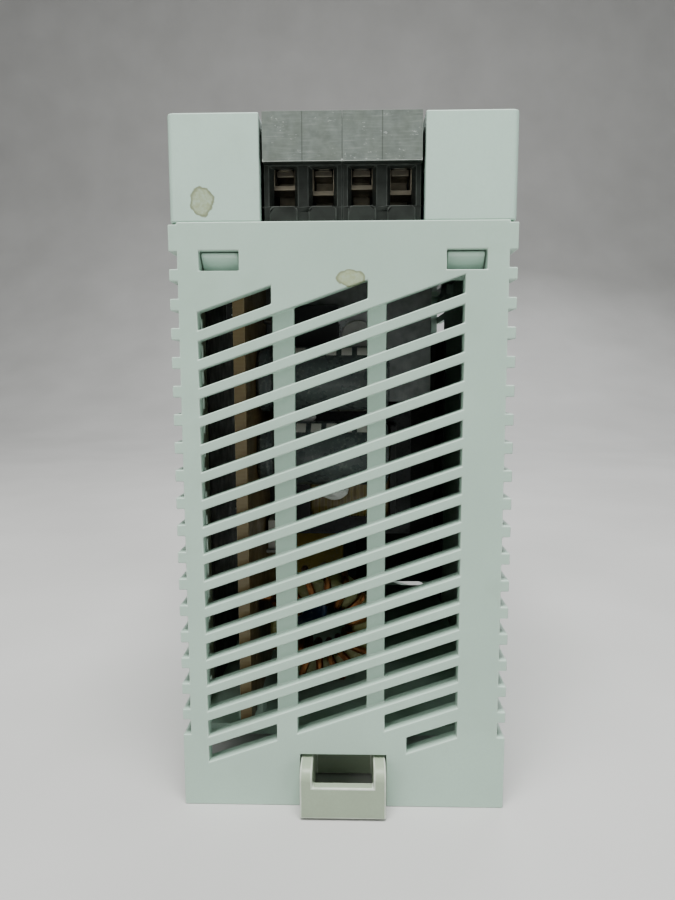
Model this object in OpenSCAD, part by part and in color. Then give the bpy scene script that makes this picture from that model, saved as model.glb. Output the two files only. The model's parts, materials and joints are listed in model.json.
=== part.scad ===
// DIN rail power supply, 45 mm wide, for a 35 mm top-hat rail.
// Origin: centre of the rail seat, where the rail's front face touches the case.
// +Z points away from the rail to the front panel, -Y to the output end with the rail latch.

/* [Case] */
// Overall width of the case across the side slats
case_w = 45; // [44:0.5:60]
// Overall length of the case along the rail's short side
case_l = 75; // [72:0.5:100]
// Height of the parting line above the rail seat
parting_z = 76.8; // [76:0.2:95]
// Height of the front cover above the parting line
cover_h = 13.4; // [12.5:0.1:16]
// Reach of the feet behind the rail seat
foot_h = 3.5; // [3.2:0.1:5]
// Thickness of the two end plates
end_t = 2.2; // [1.8:0.1:3]
// Thickness of the side walls, and how far the slats stand proud of the end plates
side_t = 1.1; // [0.9:0.1:1.4]
// Height of the floor above the rail seat
floor_z = 4.2; // [4:0.1:6]
// Thickness of the floor and of the cover's top
floor_t = 1.6; // [1.2:0.1:2.5]
// Thickness of the cover's walls
cover_t = 1.7; // [1.4:0.1:2.2]
// Step between the housing's and the cover's outer faces
cover_step = 0.2; // [0:0.05:0.5]
// Gap between the cover's lower edge and the slatted strips
strip_gap = 0.3; // [0.1:0.05:0.6]
// Radius of the cover's upright corners
corner_r = 0.9; // [0.4:0.1:2]

/* [Ventilation] */
// Distance from one slot to the next, in the sides and in the grilles
slot_pitch = 3.76; // [3.4:0.02:3.8]
// Number of slots in each side wall
side_slots = 18; // [4:1:18]
// Height of a side slot
side_slot_h = 2.2; // [1.6:0.1:2.6]
// Length of a side slot from the corner
side_slot_l = 14; // [6:0.5:20]
// Height of a grille slot
grille_slot_h = 2.38; // [1.6:0.01:2.6]
// Rise of the grille bars across the face, as a slope
grille_slope = 0.35; // [0.2:0.002:0.4]
// Number of slots in the grille's first column
grille_rows = 17; // [4:1:17]
// Depth of the webs behind the front of the grille bars
web_recess = 1.2; // [0.8:0.1:1.4]
// Drop of the first side slot below the parting line
side_slot_drop = 3.7; // [3.5:0.1:6]
// Drop of the grille's first slot below the parting line, at its low end
grille_drop = 11.4; // [11.2:0.1:14]

/* [Rail] */
// Width of the rail
rail_w = 35; // [35:0.5:36]
// Clearance of the rail in its channel, all round
rail_gap = 0.25; // [0.1:0.05:0.5]
// Thickness of the rail's lips
rail_lip_t = 1; // [1:0.1:1.2]
// Reach of the hook and of the latch nose under the lips
hook_reach = 2.5; // [2:0.1:3.5]

/* [Latch] */
// Width of the latch
latch_w = 11.8; // [10:0.1:14]
// Distance the latch's handle stands out of the case
latch_out = 3.2; // [2.5:0.1:5]
// Stroke of the latch
latch_stroke = 4; // [3:0.1:4]
// Clearance between the latch and its guides
latch_gap = 0.15; // [0.1:0.01:0.2]
// Width of each cheek of the handle
cheek_w = 1.7; // [1.2:0.1:2.2]
// Outer diameter of the latch spring
spring_d = 3.2; // [2.6:0.1:3.6]
// Diameter of the spring wire
spring_wire = 0.45; // [0.35:0.05:0.5]

/* [Terminals] */
// Distance between two poles
pole_pitch = 5.08; // [5:0.01:5.5]
// Depth of the terminal blocks into the case
block_depth = 9; // [9:0.1:11]
// Set-back of the wire funnels behind the block's upper lip
funnel_setback = 1.5; // [1:0.1:2]
// Gap between the terminal blocks and the cover
block_gap = 0.4; // [0.2:0.05:0.8]
// Width of the wire cages
cage_w = 3.8; // [3.4:0.05:4]
// Thickness of the metal in the cages and contact bars
cage_t = 0.6; // [0.5:0.05:0.7]
// Radius of the terminal screws' shanks
screw_r = 1.25; // [1.1:0.05:1.4]
// Radial clearance of the screws in the cages
screw_gap = 0.05; // [0.02:0.01:0.09]
// Travel of a cage from fully open to fully closed
cage_travel = 3; // [2.5:0.1:3]

/* [Electronics] */
// Thickness of the circuit boards
pcb_t = 1.6; // [1:0.1:2]
// Distance from the left side wall to the main circuit board
pcb_side = 6.6; // [5.5:0.1:8]
// Diameter of the bulk capacitor
bulk_d = 18; // [16:0.5:18]
// Diameter of each output capacitor
output_cap_d = 10; // [8:0.5:10]
// Size of the transformer core along Y
core_w = 20; // [18:0.5:22]

/* [Hidden] */
$fn = 48;
eps = 0.01;
foot_z = -foot_h;
cover_z = parting_z + cover_h;
half_w = case_w / 2;
half_l = case_l / 2;
wall_x = half_w - side_t;
wall_y = half_l - end_t;
floor_top = floor_z + floor_t;

// Grille columns, as distances from the case's centre line, and their first and last slots
col_inset = 3.55;
col_w = 9.68;
web_w = 2.88;
right_col_w = 10.08;
left_x = -half_w + col_inset;
columns = [
    [left_x, left_x + col_w, 1, grille_rows],
    [left_x + col_w + web_w, left_x + 2 * col_w + web_w, 2, grille_rows],
    [left_x + 2 * col_w + 2 * web_w - 0.4, left_x + 2 * col_w + 2 * web_w + right_col_w - 0.4, 3, grille_rows + 1]
];
short_slot_x = columns[2][0] + 3.08;
short_slot_step = 1.16;

// Snap windows and the cover's tabs behind them
window_x = 16;
window_w = 5.2;
window_h = 2.55;
window_z = parting_z - 6.15;
tab_gap = 0.15;
tab_w = window_w - 2 * tab_gap;
tab_t = 1.3;

// Rail channel
channel_y = rail_w / 2 + rail_gap;
hook_z = -rail_lip_t - rail_gap;

// Latch
latch_top = floor_z - 0.45;
latch_bottom = foot_z + 0.3;
bar_top = latch_bottom + 4.5;
bar_t = 1.4;
nose_y = rail_w / 2 - hook_reach;
cross_y = channel_y + 0.15;
cross_t = 2.4;
window_end = cross_y + cross_t;
post_t = 1;
spring_l = 7.8;
post_y = window_end + spring_l + post_t;
pocket_end = post_y + 1.4;
wing_w = 0.9;
wing_z = 0.6;
wing_h = 1.4;
latch_cut = latch_w / 2 + latch_gap;

// Terminal board and blocks
board_top = parting_z;
board_z = board_top - pcb_t;
board_gap = 0.3;
block_lip_h = 6.1;
block_top = cover_z;
funnel_low = parting_z + 2.1;
funnel_high = block_top - 6.25;
funnel_w = 3.7;
funnel_in_w = 2.6;
contact_z = funnel_high - 0.55;
contact_t = 0.8;
contact_w = 2.3;
screw_tip = contact_z + contact_t + 0.02;
cage_inner_h = screw_tip - contact_z + cage_travel + 0.05;
head_z = screw_tip + cage_travel + cage_t + 0.35;
head_h = 1.2;
head_r = 1.85;
pole_y = half_l - 4.9;
cage_l = 3.6;
cage_clear = 0.15;
output_poles = 4;
input_poles = 3;
// Distance of each cage below its closed position, pole by pole
output_drop = [1.35, 2.05, 1.35, 2.05];
input_drop = [1.6, 1.2, 1.8];

// Main board and what stands on it
pcb_x = -wall_x + pcb_side;
face_x = pcb_x + pcb_t;
pcb_low = floor_top + 1.2;
pcb_high = board_z;
pcb_half = wall_y - 0.4;
board_slack = 0.1;
mid_z = (pcb_low + pcb_high) / 2;
tab_l = 8;
board_tabs = [-18, 0, 18];
lead_r = 0.35;
hole_r = 0.55;
lead_out = 1;

// ---------------------------------------------------------------- shared shapes

// A block with its four upright edges rounded, centred on X and Y
module rounded_block(size_x, size_y, size_z, r) {
    translate([-size_x / 2 + r, -size_y / 2, 0]) cube([size_x - 2 * r, size_y, size_z]);
    translate([-size_x / 2, -size_y / 2 + r, 0]) cube([size_x, size_y - 2 * r, size_z]);
    for (sx = [-1, 1], sy = [-1, 1])
        translate([sx * (size_x / 2 - r), sy * (size_y / 2 - r), 0]) cylinder(r = r, h = size_z);
}

// A box from its low and high corners
module span(low, high) {
    translate(low) cube(high - low);
}

// Both ends of the case: children are drawn for the -Y end and turned to the +Y end
module both_ends() {
    children();
    rotate([0, 0, 180]) children();
}

// A profile drawn with Y to the right and Z up, extruded along X and centred on it
module yz_profile(width) {
    translate([-width / 2, 0, 0]) rotate([90, 0, 90]) linear_extrude(width) children();
}

// A profile drawn with X to the right and Z up, extruded back from y_front
module xz_profile(y_front, depth) {
    translate([0, y_front + depth, 0]) rotate([90, 0, 0]) linear_extrude(depth) children();
}

// ---------------------------------------------------------------- housing

function slot_top(x, row) = parting_z - grille_drop + grille_slope * (x - left_x) - slot_pitch * (row - 1);

module slot_outline(x0, x1, row) {
    polygon([
        [x0, slot_top(x0, row) - grille_slot_h], [x1, slot_top(x1, row) - grille_slot_h],
        [x1, slot_top(x1, row)], [x0, slot_top(x0, row)]
    ]);
}

module grille_columns() {
    for (c = columns, row = [c[2] : c[3]]) slot_outline(c[0], c[1], row);
    slot_outline(short_slot_x, columns[2][1], columns[2][3] + short_slot_step);
}

// Slots of two neighbouring columns joined across the web in front of it
module grille_webs() {
    for (c = [0, 1], row = [columns[c + 1][2] : grille_rows - 1 + c])
        slot_outline(columns[c][1] - eps, columns[c + 1][0] + eps, row);
}

module latch_cutout() {
    translate([-latch_cut, foot_z - 1]) square([2 * latch_cut, floor_z - foot_z + 1]);
}

module snap_windows() {
    for (s = [-1, 1]) translate([s * window_x - window_w / 2, window_z]) square([window_w, window_h]);
}

module end_plate_outline() {
    difference() {
        union() {
            translate([-wall_x - eps, foot_z]) square([2 * (wall_x + eps), parting_z - foot_z]);
            translate([-half_w, foot_z]) square([case_w, foot_h]);
        }
        snap_windows();
        grille_columns();
    }
}

module end_plate() {
    xz_profile(-half_l, web_recess) difference() {
        end_plate_outline();
        grille_webs();
    }
    xz_profile(-half_l + web_recess, end_t - web_recess) end_plate_outline();
}

module side_wall() {
    first_slot = parting_z - side_slot_drop;
    rotate([90, 0, 90]) linear_extrude(side_t) difference() {
        translate([-half_l, 0]) square([case_l, parting_z - strip_gap]);
        for (k = [0 : side_slots - 1], s = [-1, 1])
            translate([s * half_l - side_slot_l, first_slot - slot_pitch * k - side_slot_h])
                square([2 * side_slot_l, side_slot_h]);
    }
}

// Channel right across the base for the rail, with the slot above the fixed hook and the hook's lead-in.
// The seat for the rail stops short of the hook and of the latch nose, and the ends are relieved.
module rail_channel() {
    hook_y = channel_y - hook_reach;
    seat_y = nose_y - 0.1;
    relief = 0.1;
    span([-half_w - 1, -channel_y, foot_z - 1], [half_w + 1, -seat_y, relief]);
    span([-half_w - 1, -seat_y - eps, foot_z - 1], [half_w + 1, hook_y, 0]);
    span([-half_w - 1, 0, hook_z], [half_w + 1, channel_y, 0]);
    span([-half_w - 1, seat_y, -eps], [half_w + 1, channel_y, relief]);
    yz_profile(case_w + 2) polygon([
        [hook_y - eps, hook_z - 0.8], [hook_y - eps, foot_z - 1], [hook_y + 1.4, foot_z - 1], [hook_y + 1.4, foot_z]
    ]);
}

// Floor and ribs of the base, cut out for the latch and to keep the walls even
module base_block() {
    rib = 1.4;
    vent_l = 3;
    inner_x = latch_cut + wing_w + rib;
    difference() {
        span([-wall_x, -wall_y, foot_z], [wall_x, wall_y, floor_top]);
        // openings in the floor behind the grilles' lowest slots
        both_ends() for (low_x = [-wall_x + 0.3, inner_x])
            span([low_x, -wall_y - 1, 0], [low_x + wall_x - 0.3 - inner_x, -wall_y + vent_l, floor_top + 1]);
        // relief pockets beside the latch, over the rail and behind the hook
        for (s = [-1, 1]) {
            low_x = s > 0 ? inner_x : -wall_x - 1;
            high_x = s > 0 ? wall_x + 1 : -inner_x;
            span([low_x, -wall_y - 1, foot_z - 1], [high_x, -channel_y - rib, floor_z]);
            span([low_x, -channel_y + rib, -1], [high_x, channel_y - rib, floor_z]);
            hook_low_x = s > 0 ? rib / 2 : -wall_x - 1;
            hook_high_x = s > 0 ? wall_x + 1 : -rib / 2;
            span([hook_low_x, channel_y + rib, foot_z - 1], [hook_high_x, wall_y + 1, floor_z]);
        }
        // latch channel with its two grooves
        span([-latch_cut, -half_l - 1, foot_z - 1], [latch_cut, -nose_y, floor_z]);
        groove_x = latch_cut + wing_w;
        groove_gap = latch_gap;
        span([-groove_x, -wall_y, wing_z - groove_gap], [groove_x, -nose_y, wing_z + wing_h + groove_gap]);
    }
    // post that the latch spring pushes against
    span([-1.7, -post_y, foot_z + 1], [1.7, -post_y + post_t, floor_z + eps]);
}

// Grooved posts that carry the lower edge of the main board
module board_posts() {
    cheek = 1;
    post_l = 4;
    for (y = [-pcb_half + 6, 0, pcb_half - 6]) difference() {
        span([pcb_x - board_slack - cheek, y - post_l / 2, floor_top - eps],
             [face_x + board_slack + cheek, y + post_l / 2, pcb_low + 1.5]);
        span([pcb_x - board_slack, y - post_l, pcb_low], [face_x + board_slack, y + post_l, board_z]);
    }
}

// Ledges on the side walls that carry the terminal board
module board_ledges() {
    for (sx = [0, 1], y = [-18, 10]) mirror([sx, 0, 0])
        span([wall_x - 1.5, y, board_z - 2], [wall_x + eps, y + 8, board_z]);
}

// Four walls, open at the top and the foot
module main_housing() {
    color([0.69, 0.74, 0.70]) {
        difference() {
            union() {
                both_ends() end_plate();
                for (s = [0, 1]) mirror([s, 0, 0]) translate([wall_x, 0, 0]) side_wall();
            }
            xz_profile(-half_l - 1, end_t + 1 + eps) latch_cutout();
        }
        board_ledges();
    }
}

// Floor that closes the four walls and clips to the rail
module rail_base() {
    color([0.66, 0.71, 0.67]) {
        difference() {
            base_block();
            rail_channel();
        }
        board_posts();
    }
}

// ---------------------------------------------------------------- cover

module block_recess(poles) {
    w = poles * pole_pitch + 2 * block_gap;
    span([-w / 2, -half_l - 1, parting_z - 1], [w / 2, -half_l + block_depth + block_gap, cover_z + 1]);
}

// Rating label in a shallow recess on the front panel
label_w = 32;
label_l = 26;
label_t = 0.25;

module snap_tab() {
    hook = end_t - 0.6;
    translate([0, -wall_y + tab_gap, 0]) yz_profile(tab_w) polygon([
        [0, window_z + window_h - tab_gap], [0, cover_z - cover_t], [tab_t, cover_z - cover_t],
        [tab_t, window_z - 1], [0, window_z - 0.6], [0, window_z + tab_gap],
        [-hook, window_z + window_h - tab_gap - 0.5], [-hook, window_z + window_h - tab_gap]
    ]);
}

led_x = 15;
led_y = -26;
trimmer_x = 15;
trimmer_y = -18;
light_pipe_r = 1.5;
trimmer_hole_r = 2.6;

module front_cover() {
    inset = cover_step;
    color([0.74, 0.80, 0.76]) {
        difference() {
            translate([0, 0, parting_z]) rounded_block(case_w - 2 * inset, case_l - 2 * inset, cover_h, corner_r);
            translate([0, 0, parting_z - 1])
                rounded_block(case_w - 2 * (inset + cover_t), case_l - 2 * (inset + cover_t), cover_h - cover_t + 1, 0.4);
            block_recess(output_poles);
            rotate([0, 0, 180]) block_recess(input_poles);
            translate([led_x, led_y, parting_z]) cylinder(r = light_pipe_r + 0.1, h = cover_h + 1);
            translate([trimmer_x, trimmer_y, parting_z]) cylinder(r = trimmer_hole_r, h = cover_h + 1);
            // shallow recess for the rating label
            translate([0, 0, cover_z - label_t]) rounded_block(label_w + 0.2, label_l + 0.2, 1, 1);
        }
        both_ends() for (s = [-1, 1]) translate([s * window_x, 0, 0]) snap_tab();
    }
}

module rating_label() {
    color([0.85, 0.86, 0.85]) translate([0, 0, cover_z - label_t]) rounded_block(label_w, label_l, label_t, 0.9);
}

// ---------------------------------------------------------------- latch

module din_latch() {
    pocket_w = latch_w - 2 * cheek_w;
    front = half_l + latch_out;
    color([0.62, 0.66, 0.60]) difference() {
        union() {
            // cheeks and body, with rounded upper corners at the handle
            yz_profile(latch_w) difference() {
                translate([-front, latch_bottom]) square([front - cross_y, latch_top - latch_bottom]);
                difference() {
                    translate([-front - 1, latch_top - 1.6]) square([2.6, 2.6]);
                    translate([-front + 1.6, latch_top - 1.6]) circle(r = 1.6);
                }
            }
            // nose that grips the rail's lip, with its lead-in
            yz_profile(latch_w) polygon([
                [-cross_y - 1, hook_z], [-nose_y, hook_z], [-nose_y - 1.4, latch_bottom], [-cross_y - 1, latch_bottom]
            ]);
            // wings that run in the housing's grooves
            span([-latch_w / 2 - wing_w + latch_gap, -wall_y + latch_stroke + 0.5, wing_z],
                 [latch_w / 2 + wing_w - latch_gap, -cross_y - 2, wing_z + wing_h]);
        }
        // screwdriver pocket behind the bar
        span([-pocket_w / 2, -front + bar_t, latch_bottom - 1], [pocket_w / 2, -pocket_end, latch_top + 1]);
        span([-pocket_w / 2, -front - 1, bar_top], [pocket_w / 2, -front + bar_t + eps, latch_top + 1]);
        // window for the spring and the housing's post
        span([-2.2, -post_y - 0.1, latch_bottom - 1], [2.2, -window_end, latch_top + 1]);
    }
}

module latch_spring() {
    turns = 6;
    color([0.75, 0.75, 0.76]) translate([0, -post_y + post_t, 0.4]) rotate([-90, 0, 0]) {
        for (k = [0 : turns]) translate([0, 0, spring_wire / 2 + (spring_l - spring_wire) * k / turns])
            rotate_extrude() translate([spring_d / 2 - spring_wire / 2, 0]) circle(d = spring_wire, $fn = 16);
    }
}

// ---------------------------------------------------------------- terminals

function pole_x(i, poles) = (i - (poles - 1) / 2) * pole_pitch;

module pole_cuts() {
    cavity_w = cage_w + 2 * cage_clear;
    cavity_l = cage_l + 2 * cage_clear;
    front = -half_l + funnel_setback;
    cavity_top = head_z;
    // wire funnel, narrowing from the face to the cage
    translate([0, 0, funnel_low]) linear_extrude(funnel_high - funnel_low) polygon([
        [-funnel_w / 2, front - eps], [funnel_w / 2, front - eps],
        [funnel_in_w / 2, -pole_y - cage_l / 2], [-funnel_in_w / 2, -pole_y - cage_l / 2]
    ]);
    // space for the cage and its screw
    span([-cavity_w / 2, -pole_y - cavity_l / 2, parting_z + 0.9], [cavity_w / 2, -pole_y + cavity_l / 2, cavity_top]);
    translate([0, -pole_y, cavity_top - eps]) cylinder(r = head_r + 0.1, h = block_top - cavity_top + 1);
    // slot for the contact bar and its pin
    span([-contact_w / 2, -pole_y, parting_z - 1],
         [contact_w / 2, -pole_y + cage_l / 2 + 1.5, contact_z + contact_t + 0.05]);
}

// Rounded ledge under each funnel
module ledge() {
    w = funnel_w - 0.2;
    xz_profile(-half_l + funnel_setback - 0.45, 0.5) {
        translate([-w / 2, parting_z]) square([w, funnel_low - parting_z - 0.6]);
        translate([-w / 2 + 0.6, parting_z]) square([w - 1.2, funnel_low - parting_z]);
        for (s = [-1, 1]) translate([s * (w / 2 - 0.6), funnel_low - 0.6]) circle(r = 0.6);
    }
}

module terminal_block(poles) {
    w = poles * pole_pitch - 0.04;
    color([0.07, 0.08, 0.07]) difference() {
        union() {
            span([-w / 2, -half_l + funnel_setback, parting_z], [w / 2, -half_l + block_depth, block_top]);
            span([-w / 2, -half_l, block_top - block_lip_h], [w / 2, -half_l + funnel_setback + eps, block_top]);
            for (i = [0 : poles - 1]) translate([pole_x(i, poles), 0, 0]) ledge();
        }
        for (i = [0 : poles - 1]) translate([pole_x(i, poles), 0, 0]) pole_cuts();
    }
}

module output_terminal_left() {
    translate([-pole_pitch, 0, 0]) terminal_block(2);
}

module output_terminal_right() {
    translate([pole_pitch, 0, 0]) terminal_block(2);
}

module input_terminal() {
    rotate([0, 0, 180]) terminal_block(3);
}

// Bar through the cage, with its pin down through the terminal board
module contact() {
    bar_back = -pole_y + cage_l / 2 + 1.4;
    span([-contact_w / 2, -pole_y - cage_l / 2 + 1.2, contact_z], [contact_w / 2, bar_back, contact_z + contact_t]);
    span([-contact_w / 2, bar_back - 0.8, parting_z + 0.6], [contact_w / 2, bar_back, contact_z + eps]);
    span([-0.5, bar_back - 0.8, board_z - 1.4], [0.5, bar_back, parting_z + 0.6 + eps]);
}

module contacts(poles) {
    color([0.78, 0.76, 0.70]) for (i = [0 : poles - 1]) translate([pole_x(i, poles), 0, 0]) contact();
}

module output_contacts() {
    contacts(output_poles);
}

module input_contacts() {
    rotate([0, 0, 180]) contacts(input_poles);
}

// Ring that the screw draws up against the contact bar
module cage(drop) {
    inner_w = cage_w - 2 * cage_t;
    top = contact_z - 0.05 - drop + cage_inner_h;
    color([0.70, 0.68, 0.60]) translate([0, -pole_y, 0]) difference() {
        span([-cage_w / 2, -cage_l / 2, top - cage_inner_h - cage_t], [cage_w / 2, cage_l / 2, top + cage_t]);
        span([-inner_w / 2, -cage_l / 2 - 1, top - cage_inner_h], [inner_w / 2, cage_l / 2 + 1, top]);
        translate([0, 0, top - 1]) cylinder(r = screw_r + screw_gap, h = cage_t + 2);
    }
}

module terminal_screw(angle) {
    color([0.72, 0.72, 0.70]) translate([0, -pole_y, 0]) difference() {
        union() {
            translate([0, 0, screw_tip]) cylinder(r = screw_r, h = head_z - screw_tip + eps);
            translate([0, 0, head_z]) cylinder(r = head_r, h = head_h);
        }
        rotate([0, 0, angle]) span([-head_r - 1, -0.3, head_z + head_h - 0.7], [head_r + 1, 0.3, head_z + head_h + 1]);
    }
}

screw_angles = [25, 70, -15, 40];

module output_cage(i) {
    translate([pole_x(i, output_poles), 0, 0]) cage(output_drop[i]);
}

module input_cage(i) {
    rotate([0, 0, 180]) translate([pole_x(i, input_poles), 0, 0]) cage(input_drop[i]);
}

module output_screw(i) {
    translate([pole_x(i, output_poles), 0, 0]) terminal_screw(screw_angles[i]);
}

module input_screw(i) {
    rotate([0, 0, 180]) translate([pole_x(i, input_poles), 0, 0]) terminal_screw(screw_angles[i] + 10);
}

// ---------------------------------------------------------------- boards

module terminal_board() {
    board_w = 2 * wall_x - 2 * board_gap;
    board_l = 2 * (wall_y - tab_t - tab_gap) - 2 * board_gap;
    color([0.35, 0.42, 0.20]) difference() {
        translate([0, 0, board_z]) rounded_block(board_w, board_l, pcb_t, 0.5);
        both_ends() for (i = [0 : output_poles - 1])
            translate([pole_x(i, output_poles), -pole_y + cage_l / 2 + 1, board_z - 1]) cylinder(r = 0.75, h = pcb_t + 2);
        for (i = [0 : input_poles - 1])
            translate([pole_x(i, input_poles), pole_y - cage_l / 2 - 1, board_z - 1]) cylinder(r = 0.75, h = pcb_t + 2);
        for (y = board_tabs)
            span([pcb_x - board_slack, y - tab_l / 2 - board_slack, board_z - 1],
                 [face_x + board_slack, y + tab_l / 2 + board_slack, board_top + 1]);
    }
}

// Corners of the main board are notched to clear the cover's snap tabs
module main_circuit_board() {
    notch = wall_y - tab_gap - tab_t - 0.5;
    color([0.62, 0.50, 0.28]) difference() {
        union() {
            span([pcb_x, -pcb_half, pcb_low], [face_x, pcb_half, pcb_high]);
            for (y = board_tabs)
                span([pcb_x, y - tab_l / 2, pcb_high - eps], [face_x, y + tab_l / 2, board_top + 0.6]);
        }
        both_ends() span([-half_w, -half_l, window_z - 2], [half_w, -notch, parting_z]);
        all_leads(false);
    }
}

// A sheet behind the board's solder side, and one folded into the mains end behind the slots
module insulation_sheet() {
    sheet_l = case_l - 2 * side_slot_l - 3;
    sheet_t = 0.3;
    fold_l = side_slot_l + 1;
    fold_top = window_z - 4;
    color([0.12, 0.12, 0.11]) {
        span([-wall_x, -sheet_l / 2, floor_top], [-wall_x + sheet_t, sheet_l / 2, board_z - 2]);
        span([face_x + sheet_t, wall_y - sheet_t, floor_top], [wall_x, wall_y, fold_top]);
        span([wall_x - sheet_t, wall_y - fold_l, floor_top], [wall_x, wall_y, fold_top]);
    }
}

// Children are drawn with +Z away from the main board's face, at a place given as [y, z] from its middle
module on_board(place) {
    translate([face_x, place[0], mid_z + place[1]]) rotate([0, 90, 0]) children();
}

// Places on the main board, and the leads of each part around its place
transformer_at = [0, -1];
bulk_at = [23, 17];
output_caps_at = [[-22, 4], [-22, 15.5]];
line_choke_at = [24, -23];
fuse_at = [29.5, 2];
suppression_at = [13.5, -24];
varistor_at = [31, -8];
bridge_at = [20, -7];
primary_at = [8.6, 22.3];
secondary_at = [-12.6, 22.3];
safety_at = [-14.5, -24];
optocoupler_at = [-15, -10];
output_choke_at = [-26, -22];
transformer_leads = [for (x = [-7.5, -2.5, 2.5, 7.5], s = [-1, 1]) [x, s * (core_w / 2 - 0.5)]];
bulk_leads = [[0, -3.7], [0, 3.7]];
output_cap_leads = [[0, -2.5], [0, 2.5]];
line_choke_leads = [for (x = [-6, 6], y = [-3.8, 3.8]) [x, y]];
fuse_leads = [[0, -1.6], [0, 1.6]];
suppression_leads = [[-6.5, 0], [6.5, 0]];
disc_leads = [[-2.5, 0], [2.5, 0]];
bridge_leads = [for (x = [-3.8, -1.3, 1.3, 3.8]) [x, 0]];
optocoupler_leads = [for (x = [-3.4, 3.4], y = [-1.27, 1.27]) [x, y]];
package_leads = [for (x = [-2.54, 0, 2.54]) [x, -2.25]];
sink_w = 21.4;
sink_pins = [[-sink_w / 2 + 2, 0.8], [sink_w / 2 - 2, 0.8]];
output_choke_leads = [[-4, -3.6], [4, -3.6]];

module primary_place() {
    on_board(primary_at) mirror([0, 1, 0]) children();
}

module secondary_place() {
    on_board(secondary_at) children();
}

// Leads that run up from behind the main board to a height above it
module leads(places, top = eps) {
    for (p = places)
        translate([p[0], p[1], -pcb_t - lead_out]) cylinder(r = lead_r, h = pcb_t + lead_out + top, $fn = 16);
}

module drill(places) {
    for (p = places) translate([p[0], p[1], -pcb_t - 1]) cylinder(r = hole_r, h = pcb_t + 2, $fn = 16);
}

// Cones of solder round the leads, behind the main board
module solder(places) {
    for (p = places) translate([p[0], p[1], -pcb_t - 0.6]) difference() {
        cylinder(r1 = lead_r + 0.1, r2 = 0.9, h = 0.6, $fn = 24);
        translate([0, 0, -1]) cylinder(r = lead_r, h = 3, $fn = 16);
    }
}

// What is made at every lead: a hole through the board, or its solder
module at_lead(places, soldered) {
    if (soldered) solder(places);
    else drill(places);
}

module all_leads(soldered) {
    on_board(transformer_at) at_lead(transformer_leads, soldered);
    on_board(bulk_at) at_lead(bulk_leads, soldered);
    for (p = output_caps_at) on_board(p) at_lead(output_cap_leads, soldered);
    on_board(line_choke_at) at_lead(line_choke_leads, soldered);
    on_board(fuse_at) at_lead(fuse_leads, soldered);
    on_board(suppression_at) at_lead(suppression_leads, soldered);
    on_board(varistor_at) at_lead(disc_leads, soldered);
    on_board(bridge_at) at_lead(bridge_leads, soldered);
    on_board(safety_at) at_lead(disc_leads, soldered);
    on_board(optocoupler_at) at_lead(optocoupler_leads, soldered);
    on_board(output_choke_at) at_lead(output_choke_leads, soldered);
    primary_place() at_lead(concat(package_leads, sink_pins), soldered);
    secondary_place() at_lead(concat(package_leads, sink_pins), soldered);
}

module solder_joints() {
    color([0.70, 0.71, 0.72]) all_leads(true);
}

// ---------------------------------------------------------------- transformer

core_h = 24;
core_tall = 22;
core_leg = 6;
core_base = 3;
bobbin_rim = 1;
bobbin_wide = 16.8;
rim_low = core_base + core_leg / 2;
rim_high = core_base + core_tall - core_leg / 2 - bobbin_rim;
hub = 7.8;
hub_l = core_w - 6.2;

module transformer_core() {
    window_h = core_tall - core_leg;
    color([0.16, 0.16, 0.17]) on_board(transformer_at) difference() {
        translate([-core_h / 2, -core_w / 2 + 4, core_base]) cube([core_h, core_w - 8, core_tall]);
        for (s = [-1, 1])
            translate([s * 5.8 - 2.8, -core_w, rim_low]) cube([5.6, 2 * core_w, window_h]);
    }
}

module transformer_bobbin() {
    color([0.10, 0.10, 0.10]) on_board(transformer_at) {
        difference() {
            union() {
                for (z = [rim_low, rim_high])
                    translate([-bobbin_wide / 2, -core_w / 2 - 1, z]) cube([bobbin_wide, core_w + 2, bobbin_rim]);
                translate([-hub / 2, -hub_l / 2, rim_low]) cube([hub, hub_l, rim_high + bobbin_rim - rim_low]);
                for (s = [-1, 1])
                    translate([-bobbin_wide / 2, s * (core_w / 2 - 0.5) - 1.5, 0]) cube([bobbin_wide, 3, rim_low + eps]);
            }
            translate([-3, -core_w / 2 + 4, -1]) cube([6, core_w - 8, 40]);
        }
        leads(transformer_leads);
    }
}

module transformer_winding() {
    low = rim_low + bobbin_rim;
    high = rim_high;
    color([0.80, 0.66, 0.22]) on_board(transformer_at) translate([0, 0, low]) difference() {
        rounded_block(bobbin_wide - 0.4, core_w + 0.6, high - low, 2.5);
        translate([-hub / 2, -hub_l / 2, -1]) cube([hub, hub_l, high - low + 2]);
    }
}

// ---------------------------------------------------------------- parts on the main board

// Upright can with a pressed groove near its foot and a rounded shoulder
module can(d, h) {
    rotate_extrude() difference() {
        union() {
            translate([0, 0.4]) square([d / 2, h - 1.2]);
            square([d / 2 - 0.8, h]);
            translate([d / 2 - 0.8, h - 0.8]) circle(r = 0.8, $fn = 24);
        }
        translate([d / 2 + 0.1, 2.2]) circle(r = 0.5, $fn = 24);
        translate([-2, -2]) square([2, h + 4]);
    }
}

module bulk_capacitor() {
    color([0.12, 0.14, 0.20]) on_board(bulk_at) {
        can(bulk_d, 30);
        leads(bulk_leads);
    }
}

module output_capacitors() {
    color([0.25, 0.27, 0.27]) for (p = output_caps_at) on_board(p) {
        can(output_cap_d, 20);
        leads(output_cap_leads);
    }
}

output_choke_r = 9.4;
output_core = [4.6, 7.8];
output_core_t = 6;
wire_t = 1.2;

// The choke stands on its rim, its axis along Y
module output_choke_place() {
    on_board(output_choke_at) translate([0, 0, output_choke_r + 0.4]) rotate([90, 0, 0]) children();
}

module output_choke_core() {
    color([0.72, 0.70, 0.25]) output_choke_place() rotate_extrude()
        translate([output_core[0], -output_core_t / 2]) square([output_core[1] - output_core[0], output_core_t]);
}

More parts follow.
